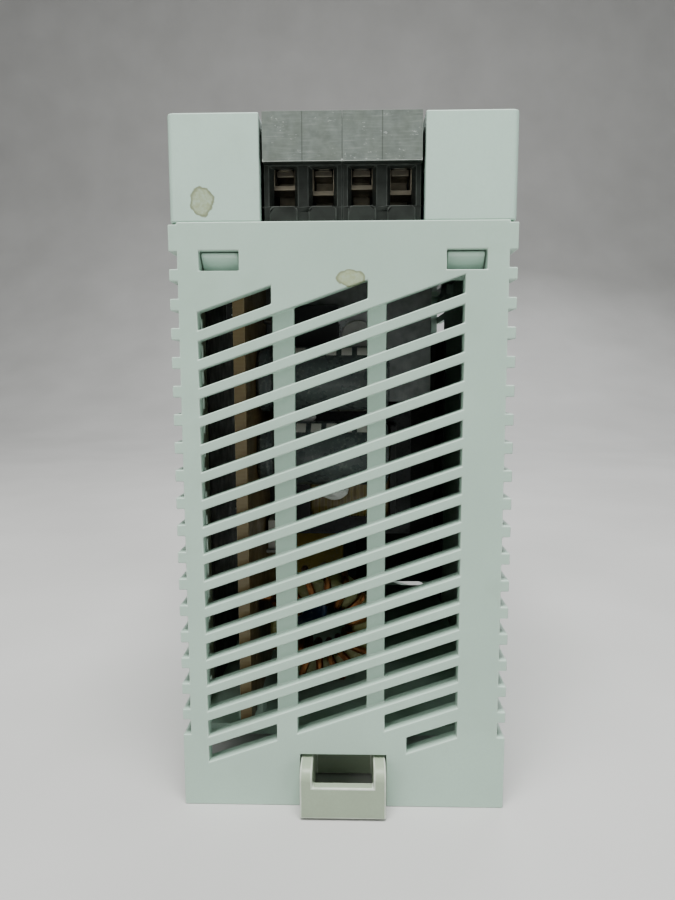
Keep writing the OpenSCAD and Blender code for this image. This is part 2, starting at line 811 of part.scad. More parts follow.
// Square turn of wire round the core's section
module choke_turn() {
    section = output_core[1] - output_core[0];
    rotate([90, 0, 0]) translate([0, 0, -wire_t / 2]) linear_extrude(wire_t) difference() {
        translate([output_core[0] - wire_t, -output_core_t / 2 - wire_t])
            square([section + 2 * wire_t, output_core_t + 2 * wire_t]);
        translate([output_core[0] - 0.12, -output_core_t / 2]) square([section + 0.14, output_core_t]);
    }
}

module output_choke_winding() {
    turns = 12;
    color([0.66, 0.38, 0.16]) {
        output_choke_place() for (k = [0 : turns - 1]) rotate([0, 0, -55 + 290 * k / (turns - 1)]) choke_turn();
        on_board(output_choke_at) leads(output_choke_leads, 2.8);
    }
}

line_core = 15.2;
line_leg = 3.6;
line_core_t = 6;

module line_choke_place() {
    on_board(line_choke_at) translate([0, 0, line_core / 2]) rotate([90, 0, 0]) children();
}

module line_choke_core() {
    inner = line_core - 2 * line_leg;
    color([0.20, 0.20, 0.21]) line_choke_place() difference() {
        translate([-line_core / 2, -line_core / 2, -line_core_t / 2]) cube([line_core, line_core, line_core_t]);
        translate([-inner / 2, -inner / 2, -line_core_t]) cube([inner, inner, 2 * line_core_t]);
    }
}

module line_choke_windings() {
    wound_h = 7.2;
    wound_t = 1.8;
    leg_x = (line_core - line_leg) / 2;
    color([0.70, 0.36, 0.14]) {
        line_choke_place() for (s = [-1, 1]) translate([s * leg_x, -wound_h / 2, 0]) difference() {
            translate([-line_leg / 2 - wound_t, 0, -line_core_t / 2 - wound_t])
                cube([line_leg + 2 * wound_t, wound_h, line_core_t + 2 * wound_t]);
            translate([-line_leg / 2, -1, -line_core_t / 2]) cube([line_leg, wound_h + 2, line_core_t]);
        }
        on_board(line_choke_at) leads(line_choke_leads, (line_core - wound_h) / 2 + eps);
    }
}

module line_fuse() {
    color([0.85, 0.80, 0.70]) on_board(fuse_at) {
        cylinder(d = 5.6, h = 8);
        leads(fuse_leads);
    }
}

module suppression_capacitor() {
    color([0.86, 0.72, 0.16]) on_board(suppression_at) {
        translate([-8, -2.9, 0]) cube([16, 5.8, 12.4]);
        leads(suppression_leads);
    }
}

// Coated disc on edge, on two leads
module disc_part(d, t) {
    stand = 2.1;
    translate([0, t / 2, stand + d / 2]) rotate([90, 0, 0]) cylinder(d = d, h = t);
    leads(disc_leads, stand + d / 4);
}

module varistor() {
    color([0.16, 0.30, 0.62]) on_board(varistor_at) disc_part(9, 3.2);
}

module safety_capacitor() {
    color([0.16, 0.34, 0.66]) on_board(safety_at) disc_part(8, 3);
}

module bridge_rectifier() {
    color([0.10, 0.10, 0.11]) on_board(bridge_at) {
        translate([-5, -1.8, 1]) cube([10, 3.6, 9]);
        leads(bridge_leads, 1 + eps);
    }
}

sink_t = 1.6;
sink_h = 26;
screw_at = 15.3;

// Upright plate with pins into the board and a folded lip, and a hole for the screw
module heatsink() {
    difference() {
        union() {
            translate([-sink_w / 2, 0, 0]) cube([sink_w, sink_t, sink_h]);
            translate([-sink_w / 2, 0, sink_h - eps]) cube([sink_w, 5, sink_t]);
            leads(sink_pins);
        }
        translate([0, -1, screw_at]) rotate([-90, 0, 0]) cylinder(r = 1.6, h = sink_t + 2);
    }
}

// Tab package screwed to a heatsink's face
module power_package() {
    difference() {
        union() {
            translate([-5, -3.6, 3.6]) cube([10, 3.6, 8.6]);
            translate([-5, -1.2, 12.2 - eps]) cube([10, 1.2, 6.3]);
            leads(package_leads, 3.6 + eps);
        }
        translate([0, -5, screw_at]) rotate([-90, 0, 0]) cylinder(r = 1.6, h = 10);
    }
}

// Screw through the tab and the sink, its head on the tab and its nut behind the sink
module sink_screw() {
    translate([0, -1.2, screw_at]) rotate([90, 0, 0]) cylinder(r = 2.7, h = 1.8);
    translate([0, -1.3, screw_at]) rotate([-90, 0, 0]) cylinder(r = 1.5, h = sink_t + 1.4);
    translate([0, sink_t, screw_at]) rotate([-90, 0, 0]) cylinder(r = 2.8, h = 2.2, $fn = 6);
}

module primary_heatsink() {
    color([0.70, 0.71, 0.72]) primary_place() heatsink();
}

module power_transistor() {
    color([0.12, 0.12, 0.12]) primary_place() power_package();
}

module secondary_heatsink() {
    color([0.70, 0.71, 0.72]) secondary_place() heatsink();
}

module output_diode() {
    color([0.12, 0.12, 0.12]) secondary_place() power_package();
}

module heatsink_screws() {
    color([0.75, 0.75, 0.73]) {
        primary_place() sink_screw();
        secondary_place() sink_screw();
    }
}

module optocoupler() {
    color([0.92, 0.91, 0.86]) on_board(optocoupler_at) {
        translate([-2.3, -3.2, 0.5]) cube([4.6, 6.4, 3.4]);
        leads(optocoupler_leads, 2.2);
        for (x = [-3.5, 2.2], y = [-1.27, 1.27]) translate([x, y - 0.3, 1.9]) cube([1.3, 0.6, 0.3]);
    }
}

// Small packages on the solder side of the main board: [y, z, length, height]
chips = [[-1, -24, 6, 5], [0, 22, 5, 5], [-29, -4, 4, 4], [14, 4, 4, 6], [-29, 24, 4, 4]];

module control_chips() {
    color([0.10, 0.10, 0.10]) for (c = chips)
        translate([pcb_x - 1.6, c[0] - c[2] / 2, mid_z + c[1] - c[3] / 2]) cube([1.6, c[2], c[3]]);
}

// ---------------------------------------------------------------- front panel parts

trimmer_r = 2.3;
trimmer_gap = 0.05;
trimmer_seat = 4;

module trimmer_body() {
    color([0.15, 0.32, 0.60]) translate([trimmer_x, trimmer_y, board_top]) difference() {
        rounded_block(6.6, 6.8, trimmer_seat + 2, 0.4);
        translate([0, 0, trimmer_seat - 1.5]) cylinder(r = trimmer_r + trimmer_gap, h = 10);
    }
}

module trimmer_rotor() {
    rotor_h = cover_z - board_top - trimmer_seat - 0.6;
    color([0.93, 0.92, 0.88]) translate([trimmer_x, trimmer_y, board_top + trimmer_seat - 1.5]) difference() {
        cylinder(r = trimmer_r, h = rotor_h + 1.5);
        span([-2, -0.35, rotor_h + 0.7], [2, 0.35, rotor_h + 3]);
        span([-0.35, -2, rotor_h + 0.7], [0.35, 2, rotor_h + 3]);
    }
}

led_h = 5;

module status_light() {
    color([0.30, 0.72, 0.35]) translate([led_x, led_y, board_top]) {
        cylinder(r = 1.9, h = 1);
        cylinder(r = 1.5, h = led_h - 1.5);
        translate([0, 0, led_h - 1.5]) sphere(r = 1.5);
    }
}

module light_pipe() {
    color([0.85, 0.95, 0.88, 0.6]) translate([led_x, led_y, board_top + led_h + 0.2])
        difference() {
            union() {
                cylinder(r = light_pipe_r, h = cover_z - board_top - led_h - 0.2);
                cylinder(r = 2.4, h = cover_z - cover_t - board_top - led_h - 0.2);
            }
            translate([0, 0, -1]) cylinder(r = 0.8, h = 1.5);
        }
}

main_housing();
rail_base();
front_cover();
din_latch();
latch_spring();
terminal_board();
main_circuit_board();
insulation_sheet();
output_terminal_left();
output_terminal_right();
input_terminal();
output_contacts();
input_contacts();
output_cage(0);  // output_cage_1
output_cage(1);  // output_cage_2
output_cage(2);  // output_cage_3
output_cage(3);  // output_cage_4
input_cage(0);  // input_cage_1
input_cage(1);  // input_cage_2
input_cage(2);  // input_cage_3
output_screw(0);  // output_screw_1
output_screw(1);  // output_screw_2
output_screw(2);  // output_screw_3
output_screw(3);  // output_screw_4
input_screw(0);  // input_screw_1
input_screw(1);  // input_screw_2
input_screw(2);  // input_screw_3
transformer_core();
transformer_bobbin();
transformer_winding();
bulk_capacitor();
output_capacitors();
output_choke_core();
output_choke_winding();
line_choke_core();
line_choke_windings();
line_fuse();
suppression_capacitor();
varistor();
bridge_rectifier();
primary_heatsink();
power_transistor();
secondary_heatsink();
output_diode();
heatsink_screws();
safety_capacitor();
optocoupler();
control_chips();
solder_joints();
trimmer_body();
trimmer_rotor();
status_light();
light_pipe();
rating_label();
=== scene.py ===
"""The looks of a DIN rail power supply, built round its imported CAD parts. All sizes are in metres."""

import json
import math
import random

import bmesh
import bpy
from mathutils import Euler, Matrix, Vector, noise

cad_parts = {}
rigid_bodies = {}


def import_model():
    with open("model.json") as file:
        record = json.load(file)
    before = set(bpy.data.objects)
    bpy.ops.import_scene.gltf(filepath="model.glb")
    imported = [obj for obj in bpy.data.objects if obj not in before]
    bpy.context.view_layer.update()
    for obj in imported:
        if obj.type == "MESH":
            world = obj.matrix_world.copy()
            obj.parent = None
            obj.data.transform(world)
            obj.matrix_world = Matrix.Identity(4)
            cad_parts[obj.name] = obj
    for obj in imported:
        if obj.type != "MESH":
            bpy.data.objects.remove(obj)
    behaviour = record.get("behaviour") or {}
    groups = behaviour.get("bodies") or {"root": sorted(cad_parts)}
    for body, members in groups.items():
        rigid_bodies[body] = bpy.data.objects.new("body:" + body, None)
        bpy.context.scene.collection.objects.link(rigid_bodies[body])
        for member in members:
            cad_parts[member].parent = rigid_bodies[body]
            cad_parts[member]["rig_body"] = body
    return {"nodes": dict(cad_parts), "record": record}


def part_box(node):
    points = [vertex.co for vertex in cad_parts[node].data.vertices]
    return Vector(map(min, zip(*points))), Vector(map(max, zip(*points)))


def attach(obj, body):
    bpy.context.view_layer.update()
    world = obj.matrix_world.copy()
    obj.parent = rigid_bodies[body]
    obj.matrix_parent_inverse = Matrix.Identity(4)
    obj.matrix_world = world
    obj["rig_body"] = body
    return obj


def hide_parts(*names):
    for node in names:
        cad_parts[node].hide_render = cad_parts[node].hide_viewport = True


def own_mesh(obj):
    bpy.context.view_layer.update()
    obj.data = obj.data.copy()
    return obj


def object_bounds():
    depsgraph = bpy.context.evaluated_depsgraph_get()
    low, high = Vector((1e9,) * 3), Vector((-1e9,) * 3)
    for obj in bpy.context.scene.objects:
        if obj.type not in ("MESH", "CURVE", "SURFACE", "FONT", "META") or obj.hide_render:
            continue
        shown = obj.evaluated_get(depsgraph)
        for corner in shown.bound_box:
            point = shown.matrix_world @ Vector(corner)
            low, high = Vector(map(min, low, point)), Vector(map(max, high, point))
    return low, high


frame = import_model()
cad_low, cad_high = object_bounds()
MM = 0.001
CASE = "case"
FULL_TURN = 2 * math.pi
BODY_OF = {node: obj["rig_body"] for node, obj in frame["nodes"].items()}
SLOT_OF = {row["node"]: row["material_slot"] for row in frame["record"]["subparts"]}


# ---------------------------------------------------------------- materials


class Surface:
    """One material's node tree, with short calls for the nodes that it is made of."""

    def __init__(self, name, roughness=0.5, metallic=0.0, coat=0.0, **sockets):
        self.material = bpy.data.materials.new(name)
        self.material.use_nodes = True
        self.tree = self.material.node_tree
        self.shader = self.tree.nodes["Principled BSDF"]
        self.shader.inputs["Roughness"].default_value = roughness
        self.shader.inputs["Metallic"].default_value = metallic
        self.shader.inputs["Coat Weight"].default_value = coat
        for socket, value in sockets.items():
            self.shader.inputs[socket.replace("_", " ")].default_value = value
        self.point = self.add("ShaderNodeTexCoord").outputs["Object"]

    def add(self, kind, inputs=None, **settings):
        """A node with its settings, and its inputs from sockets or plain values."""
        node = self.tree.nodes.new(kind)
        for key, value in settings.items():
            setattr(node, key, value)
        for key, value in (inputs or {}).items():
            if isinstance(value, bpy.types.NodeSocket):
                self.tree.links.new(value, node.inputs[key])
            else:
                node.inputs[key].default_value = value
        return node

    def placed(self, scale=(1, 1, 1), shift=(0, 0, 0)):
        """Object coordinates, scaled and then shifted."""
        inputs = {"Vector": self.point, "Scale": scale, "Location": shift}
        return self.add("ShaderNodeMapping", inputs).outputs[0]

    def noise(self, size, detail=2.0, stretch=(1, 1, 1)):
        """Noise whose features are about this size."""
        inputs = {"Vector": self.placed(stretch), "Scale": 1 / size, "Detail": detail}
        return self.add("ShaderNodeTexNoise", inputs).outputs["Fac"]

    def cells(self, size, stretch=(1, 1, 1), feature="F1"):
        """Distances in a field of cells of about this size."""
        inputs = {"Vector": self.placed(stretch), "Scale": 1 / size}
        return self.add("ShaderNodeTexVoronoi", inputs, feature=feature).outputs["Distance"]

    def stripes(self, size, axis, distortion=0.0):
        """Bands across an axis, each this wide with its gap."""
        inputs = {"Vector": self.point, "Scale": 1 / size / 3.3, "Distortion": distortion}
        return self.add("ShaderNodeTexWave", inputs, bands_direction=axis).outputs["Fac"]

    def spread(self, value, low, high, to_low=0.0, to_high=1.0):
        """A value's range from low to high, stretched to another range and clamped to it."""
        inputs = {"Value": value, "From Min": low, "From Max": high, "To Min": to_low, "To Max": to_high}
        return self.add("ShaderNodeMapRange", inputs, clamp=True).outputs[0]

    def math(self, operation, a, b=0.0):
        return self.add("ShaderNodeMath", {0: a, 1: b}, operation=operation).outputs[0]

    def blend(self, factor, a, b):
        """A colour between a and b."""
        inputs = {0: factor}
        for index, colour in ((6, a), (7, b)):
            inputs[index] = colour if isinstance(colour, bpy.types.NodeSocket) else (*colour, 1)
        return self.add("ShaderNodeMix", inputs, data_type="RGBA").outputs[2]

    def edges(self):
        """1 on the rounded edges of a piece, and 0 elsewhere."""
        return self.add("ShaderNodeAttribute", attribute_name="edge").outputs["Fac"]

    def axis(self, letter):
        """One object coordinate."""
        return self.add("ShaderNodeSeparateXYZ", {0: self.point}).outputs[letter]

    def bump(self, height, distance, strength=1.0, under=None):
        """A normal from a height, on top of another one if given."""
        inputs = {"Height": height, "Distance": distance, "Strength": strength}
        if under is not None:
            inputs["Normal"] = under
        return self.add("ShaderNodeBump", inputs).outputs[0]

    def finish(self, colour=None, roughness=None, normal=None):
        """Links what is given to the shader and hands over the material."""
        for socket, value in (("Base Color", colour), ("Roughness", roughness), ("Normal", normal)):
            if value is not None:
                self.tree.links.new(value, self.shader.inputs[socket])
        return self.material


def shade(colour, factor):
    """A colour made lighter or darker."""
    return tuple(min(1.0, c * factor) for c in colour)


def stain(s, tone, centre, radii, colour, strength=0.85):
    """An uneven dried spot on a front face: tone outside it and a mottled colour inside."""
    scale = (1 / radii[0], 1 / (3 * MM), 1 / radii[1])
    at = s.placed(scale, tuple(-c * f for c, f in zip(centre, scale)))
    reach = s.add("ShaderNodeVectorMath", {0: at}, operation="LENGTH").outputs["Value"]
    uneven = s.math("ADD", reach, s.spread(s.noise(1.1 * MM, 3), 0.3, 0.7, -0.12, 0.12))
    mottle = s.spread(s.noise(0.4 * MM, 4), 0.3, 0.65, 0.5, strength)
    inside = s.math("MULTIPLY", s.spread(uneven, 1.0, 0.9), mottle)
    rim = s.math("MULTIPLY", s.spread(uneven, 1.0, 0.93), s.spread(uneven, 0.74, 0.88))
    tone = s.blend(inside, tone, colour)
    return s.blend(s.math("MULTIPLY", rim, 0.75), tone, shade(colour, 0.55))


def moulded(
    name, colour, roughness=0.5, mottle=0.05, grain=0.22 * MM, relief=0.006 * MM, worn=0.12, spots=(),
):
    """Moulded plastic: a fine spark-eroded grain, faint flow marks, handling grime and lighter edges."""
    s = Surface(name, roughness, Specular_IOR_Level=0.4)
    flow = s.spread(s.noise(14 * MM, 3), 0.3, 0.7)
    tone = s.blend(flow, shade(colour, 1 - mottle), shade(colour, 1 + mottle))
    specks = s.spread(s.noise(0.35 * MM, 3), 0.25, 0.75)
    tone = s.blend(s.math("MULTIPLY", specks, 0.35), tone, shade(colour, 1 - 2.2 * mottle))
    grime = s.spread(s.noise(5 * MM, 4), 0.56, 0.78, 0.0, 0.22)
    tone = s.blend(grime, tone, shade((colour[0], colour[1] * 0.99, colour[2] * 0.92), 0.72))
    wear = s.math("MULTIPLY", s.edges(), s.spread(s.noise(2.5 * MM, 3), 0.35, 0.65, 0.35 * worn, worn))
    tone = s.blend(wear, tone, (0.86, 0.88, 0.83))
    for centre, radii, spot_colour in spots:
        tone = stain(s, tone, centre, radii, spot_colour)
    rough = s.spread(s.noise(3 * MM, 4), 0.3, 0.7, roughness - 0.07, roughness + 0.09)
    waves = s.bump(s.noise(9 * MM, 1), 0.05 * MM, 0.25)
    return s.finish(tone, rough, s.bump(s.noise(grain, 3), relief, 0.9, waves))


def scuffed_black(name, lip_low, front, pitch):
    """Matt black moulding whose upper lip is rubbed grey along X and made pale along its lower front edge.
    """
    s = Surface(name, 0.6, Specular_IOR_Level=0.22)
    black = s.blend(s.spread(s.noise(3 * MM, 3), 0.3, 0.7), (0.008, 0.010, 0.008), (0.020, 0.025, 0.021))
    rubs = s.noise(0.28 * MM, 6, (0.10, 1, 1.3))
    marks = s.noise(0.9 * MM, 5)
    grey = s.blend(s.spread(marks, 0.3, 0.7), (0.105, 0.125, 0.112), (0.150, 0.175, 0.158))
    grey = s.blend(s.spread(rubs, 0.5, 0.75, 0.0, 0.5), grey, (0.23, 0.26, 0.235))
    grey = s.blend(s.spread(s.noise(3.4 * MM, 3), 0.42, 0.65, 0.0, 0.4), grey, (0.10, 0.12, 0.095))
    specks = s.spread(s.noise(0.22 * MM, 5, (0.45, 1, 1)), 0.62, 0.7)
    flecks = s.math("MULTIPLY", specks, s.spread(s.noise(2.2 * MM, 2), 0.5, 0.62))
    grey = s.blend(s.math("MULTIPLY", flecks, 0.6), grey, (0.42, 0.46, 0.43))
    # moulding line between the poles of each block
    off_pole = s.math("ABSOLUTE", s.math("SUBTRACT", s.math("ABSOLUTE", s.axis("X")), pitch))
    grey = s.blend(s.spread(off_pole, 0.10 * MM, 0.04 * MM, 0.0, 0.55), grey, (0.03, 0.036, 0.03))
    height = s.spread(s.axis("Z"), lip_low - 0.1 * MM, lip_low + 0.15 * MM)
    depth = s.spread(s.math("ABSOLUTE", s.axis("Y")), front - 0.5 * MM, front - 0.2 * MM)
    tone = s.blend(s.math("MULTIPLY", height, depth), black, grey)
    near_low = s.spread(s.math("ABSOLUTE", s.math("SUBTRACT", s.axis("Z"), lip_low)), 0.32 * MM, 0.18 * MM)
    pale = s.math("MULTIPLY", s.math("MULTIPLY", near_low, s.edges()), depth)
    pale = s.math("MULTIPLY", pale, s.spread(s.noise(1.5 * MM, 3, (0.4, 1, 1)), 0.3, 0.5, 0.5, 0.95))
    tone = s.blend(pale, tone, (0.58, 0.62, 0.58))
    soft = s.math("MULTIPLY", s.edges(), s.spread(s.noise(1.2 * MM, 2), 0.3, 0.7, 0.1, 0.4))
    tone = s.blend(soft, tone, (0.12, 0.14, 0.125))
    rough = s.spread(rubs, 0.3, 0.7, 0.5, 0.7)
    scratches = s.bump(rubs, 0.01 * MM, 0.5)
    return s.finish(tone, rough, s.bump(s.noise(0.18 * MM, 2), 0.006 * MM, 0.6, scratches))


def metal(name, colour, roughness=0.35, stretch=(1, 1, 1), dull=0.5, grain=0.35 * MM):
    """Plated or bare metal: drawn grain along one axis, cloudy tarnish and brighter edges."""
    s = Surface(name, roughness, metallic=1.0)
    drawn = s.noise(grain, 4, stretch)
    clouds = s.noise(1.6 * MM, 4)
    tone = s.blend(s.spread(clouds, 0.3, 0.7, 0.0, dull), colour, shade(colour, 0.55))
    tone = s.blend(s.spread(drawn, 0.35, 0.65, 0.0, 0.3), tone, shade(colour, 0.72))
    tone = s.blend(s.math("MULTIPLY", s.edges(), 0.5), tone, shade(colour, 1.25))
    rough = s.spread(clouds, 0.3, 0.7, roughness - 0.08, roughness + 0.16)
    return s.finish(tone, rough, s.bump(drawn, 0.008 * MM, 0.6))


def laminate(name, colour, weave, coat, track_colour=None):
    """Circuit board: glass weave under resin, with soft-edged copper tracks where a colour is given."""
    s = Surface(name, 0.45, coat=coat)
    weft = s.stripes(0.55 * MM, "Y")
    warp = s.stripes(0.55 * MM, "Z" if track_colour is None else "X")
    cloth = s.math("MULTIPLY", weft, warp)
    tone = s.blend(s.spread(cloth, 0.1, 0.7, 0.0, 0.5), colour, weave)
    tone = s.blend(s.spread(s.noise(6 * MM, 3), 0.4, 0.7, 0.0, 0.4), tone, shade(colour, 0.7))
    height = cloth
    if track_colour is not None:
        tracks = s.spread(s.cells(4.5 * MM, (1, 0.6, 1), "DISTANCE_TO_EDGE"), 0.10, 0.16)
        tone = s.blend(s.math("MULTIPLY", tracks, 0.6), tone, track_colour)
        height = s.math("ADD", cloth, tracks)
    tone = s.blend(s.math("MULTIPLY", s.edges(), 0.5), tone, shade(weave, 1.2))
    rough = s.spread(s.noise(2 * MM, 3), 0.3, 0.7, 0.35, 0.55)
    return s.finish(tone, rough, s.bump(height, 0.02 * MM, 0.5))


def coated(name, colour, roughness=0.3, coat=0.3, lumps=1.5 * MM, relief=0.08 * MM, speckle=0.1):
    """A dipped, sleeved or glazed part: glossy, faintly lumpy, with dust in it."""
    s = Surface(name, roughness, coat=coat, Coat_Roughness=0.2)
    tone = s.blend(s.spread(s.noise(4 * MM, 3), 0.3, 0.7), shade(colour, 0.86), shade(colour, 1.1))
    dust = s.spread(s.noise(0.5 * MM, 4), 0.55, 0.8, 0.0, speckle * 3)
    tone = s.blend(dust, tone, (0.45, 0.43, 0.38))
    rough = s.spread(s.noise(1.8 * MM, 3), 0.3, 0.7, roughness - 0.08, roughness + 0.15)
    lumpy = s.bump(s.noise(lumps, 2), relief, 0.6)
    return s.finish(tone, rough, s.bump(s.noise(0.2 * MM, 2), 0.005 * MM, 0.4, lumpy))


def wound_tape(name):
    """Polyester tape wrapped in layers round a winding, with the coil showing through."""
    s = Surface(name, 0.3, coat=0.25)
    layers = s.stripes(1.1 * MM, "X", 0.6)
    tone = s.blend(s.spread(s.noise(5 * MM, 3), 0.3, 0.7), (0.17, 0.13, 0.035), (0.27, 0.21, 0.07))
    tone = s.blend(s.spread(layers, 0.3, 0.9, 0.0, 0.45), tone, (0.12, 0.07, 0.025))
    rough = s.spread(layers, 0.0, 1.0, 0.25, 0.42)
    return s.finish(tone, rough, s.bump(layers, 0.05 * MM, 0.6))


def sintered(name, colour):
    """Ferrite: dark ceramic with a ground, faintly pitted surface."""
    s = Surface(name, 0.6)
    pits = s.spread(s.cells(0.6 * MM), 0.1, 0.45)
    tone = s.blend(pits, shade(colour, 0.6), colour)
    tone = s.blend(s.math("MULTIPLY", s.edges(), 0.4), tone, shade(colour, 2.0))
    rough = s.spread(s.noise(2 * MM, 3), 0.3, 0.7, 0.45, 0.7)
    return s.finish(tone, rough, s.bump(pits, 0.02 * MM, 0.6))


def lens(name, colour, transmission, emission=0.0):
    """Clear or tinted plastic, with fine scratches."""
    s = Surface(name, 0.18, Transmission_Weight=transmission, IOR=1.49, Emission_Strength=emission)
    s.shader.inputs["Emission Color"].default_value = (*colour, 1)
    tone = s.blend(s.spread(s.noise(1.5 * MM, 3), 0.3, 0.7), shade(colour, 0.9), shade(colour, 1.05))
    rough = s.spread(s.noise(0.6 * MM, 4, (1, 0.3, 1)), 0.4, 0.7, 0.12, 0.34)
    return s.finish(tone, rough, s.bump(s.noise(0.4 * MM, 3), 0.006 * MM, 0.4))


def film_label(name, low, high):
    """A blank label: satin film with a printed border and ruled boxes."""
    s = Surface(name, 0.35, coat=0.15)
    tone = s.blend(s.spread(s.noise(9 * MM, 3), 0.3, 0.7), (0.60, 0.62, 0.60), (0.68, 0.70, 0.68))
    tone = s.blend(s.spread(s.noise(0.4 * MM, 3), 0.5, 0.8, 0.0, 0.3), tone, (0.5, 0.5, 0.48))
    line = 0.0
    width = 0.16 * MM
    size = high - low
    for axis, origin, places in (
        ("X", low.x, [0.05, 0.95]),
        ("Y", low.y, [0.06, 0.28, 0.5, 0.72, 0.94]),
    ):
        for share in places:
            at = origin + share * (size.x if axis == "X" else size.y)
            away = s.math("ABSOLUTE", s.math("SUBTRACT", s.axis(axis), at))
            line = s.math("MAXIMUM", s.spread(away, width, 0.7 * width), line)
    inside = 1.0
    for axis, a, b in (("X", low.x, high.x), ("Y", low.y, high.y)):
        middle = s.math("ABSOLUTE", s.math("SUBTRACT", s.axis(axis), (a + b) / 2))
        inside = s.math("MULTIPLY", s.spread(middle, (b - a) * 0.455, (b - a) * 0.45), inside)
    tone = s.blend(s.math("MULTIPLY", s.math("MULTIPLY", line, inside), 0.7), tone, (0.10, 0.13, 0.12))
    rough = s.spread(s.noise(2 * MM, 3), 0.3, 0.7, 0.28, 0.45)
    return s.finish(tone, rough, s.bump(s.noise(0.3 * MM, 2), 0.004 * MM, 0.5))


def floor_surface():
    """Plain pale floor with a fine tooth."""
    s = Surface("studio_floor", 0.6)
    tone = s.blend(s.spread(s.noise(60 * MM, 4), 0.3, 0.7), (0.48, 0.48, 0.47), (0.54, 0.54, 0.53))
    return s.finish(tone, None, s.bump(s.noise(1.2 * MM, 3), 0.02 * MM, 0.3))


GREY_FACE = (0.385, 0.520, 0.440)
GREY_COVER = (0.430, 0.590, 0.505)
ADHESIVE = (0.26, 0.29, 0.15)
LIP_H = 6.1 * MM
POLE_PITCH = 5.08 * MM
FACE_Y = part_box("main_housing")[0].y
block_low, block_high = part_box("output_terminal_left")
# adhesive left by stickers: middle, half width and half height, colour
stain_on_cover = (Vector((-18.0 * MM, FACE_Y, 79.3 * MM)), (1.6 * MM, 1.9 * MM), ADHESIVE)
stain_on_face = (Vector((1.1 * MM, FACE_Y, 69.6 * MM)), (1.9 * MM, 1.2 * MM), shade(ADHESIVE, 1.15))

FINISH = {
    "housing_plastic": moulded("housing_plastic", GREY_FACE, spots=[stain_on_face]),
    "cover_plastic": moulded("cover_plastic", GREY_COVER, spots=[stain_on_cover]),
    "latch_plastic": moulded("latch_plastic", (0.300, 0.365, 0.265), 0.36, 0.09, worn=0.45),
    "terminal_black": scuffed_black("terminal_black", block_high.z - LIP_H, -block_low.y, POLE_PITCH),
    "black_plastic": moulded("black_plastic", (0.030, 0.031, 0.032), 0.45, 0.15, worn=0.06),
    "white_plastic": moulded("white_plastic", (0.72, 0.70, 0.64), 0.35, 0.05),
    "trimmer_blue": coated("trimmer_blue", (0.03, 0.10, 0.32), 0.35, 0.1, relief=0.01 * MM),
    "cage_metal": metal("cage_metal", (0.34, 0.31, 0.235), 0.45, (0.25, 1, 1), 0.8),
    "screw_steel": metal("screw_steel", (0.60, 0.60, 0.57), 0.33, (1, 1, 0.4), 0.5),
    "spring_steel": metal("spring_steel", (0.52, 0.52, 0.53), 0.28, (1, 0.3, 1), 0.4),
    "contact_metal": metal("contact_metal", (0.30, 0.28, 0.22), 0.40, (1, 0.3, 1), 0.7),
    "board_green": laminate(
        "board_green", (0.020, 0.075, 0.030), (0.035, 0.110, 0.045), 0.4, (0.05, 0.17, 0.06),
    ),
    # the tan board is painted a darker brown than its own tan: painted shade for the inside of the case
    "board_tan": laminate("board_tan", (0.150, 0.100, 0.040), (0.21, 0.15, 0.07), 0.2),
    # the insulation film is painted near black: painted shade for the inside of the case
    "insulation_film": coated("insulation_film", (0.022, 0.023, 0.020), 0.4, 0.1, 6 * MM, 0.05 * MM, 0.04),
    "ferrite": sintered("ferrite", (0.055, 0.055, 0.060)),
    "winding_tape": wound_tape("winding_tape"),
    "enamelled_wire": metal("enamelled_wire", (0.30, 0.125, 0.045), 0.3, (1, 1, 1), 0.55, 0.5 * MM),
    "choke_core": coated("choke_core", (0.17, 0.17, 0.05), 0.45, 0.1, 0.8 * MM, 0.05 * MM),
    "bulk_sleeve": coated("bulk_sleeve", (0.012, 0.016, 0.035), 0.25, 0.3, 3 * MM, 0.03 * MM),
    "capacitor_sleeve": coated("capacitor_sleeve", (0.085, 0.100, 0.100), 0.28, 0.3, 3 * MM, 0.03 * MM),
    "fuse_body": coated("fuse_body", (0.48, 0.42, 0.30), 0.3, 0.2, 2 * MM, 0.02 * MM),
    "film_capacitor": coated("film_capacitor", (0.50, 0.34, 0.05), 0.35, 0.2, 2 * MM, 0.02 * MM),
    "disc_coating": coated("disc_coating", (0.012, 0.045, 0.12), 0.35, 0.25, 1.2 * MM, 0.1 * MM),
    "solder": metal("solder", (0.55, 0.56, 0.57), 0.26, (1, 1, 1), 0.6, 0.6 * MM),
    # the heatsink's aluminium is painted much darker than bare aluminium: painted shade for the inside of
    # the case
    "heatsink_metal": metal("heatsink_metal", (0.30, 0.31, 0.31), 0.42, (1, 1, 0.15), 0.5),
    "green_lens": lens("green_lens", (0.08, 0.42, 0.12), 0.35),
    "clear_plastic": lens("clear_plastic", (0.36, 0.80, 0.48), 0.6),
    "label_film": film_label("label_film", *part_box("rating_label")),
    "silicone": moulded("silicone", (0.80, 0.80, 0.77), 0.4, 0.04, 0.8 * MM, 0.05 * MM),
    "bare_aluminium": metal("bare_aluminium", (0.62, 0.63, 0.64), 0.30, (1, 1, 1), 0.3),
}


# ---------------------------------------------------------------- pieces


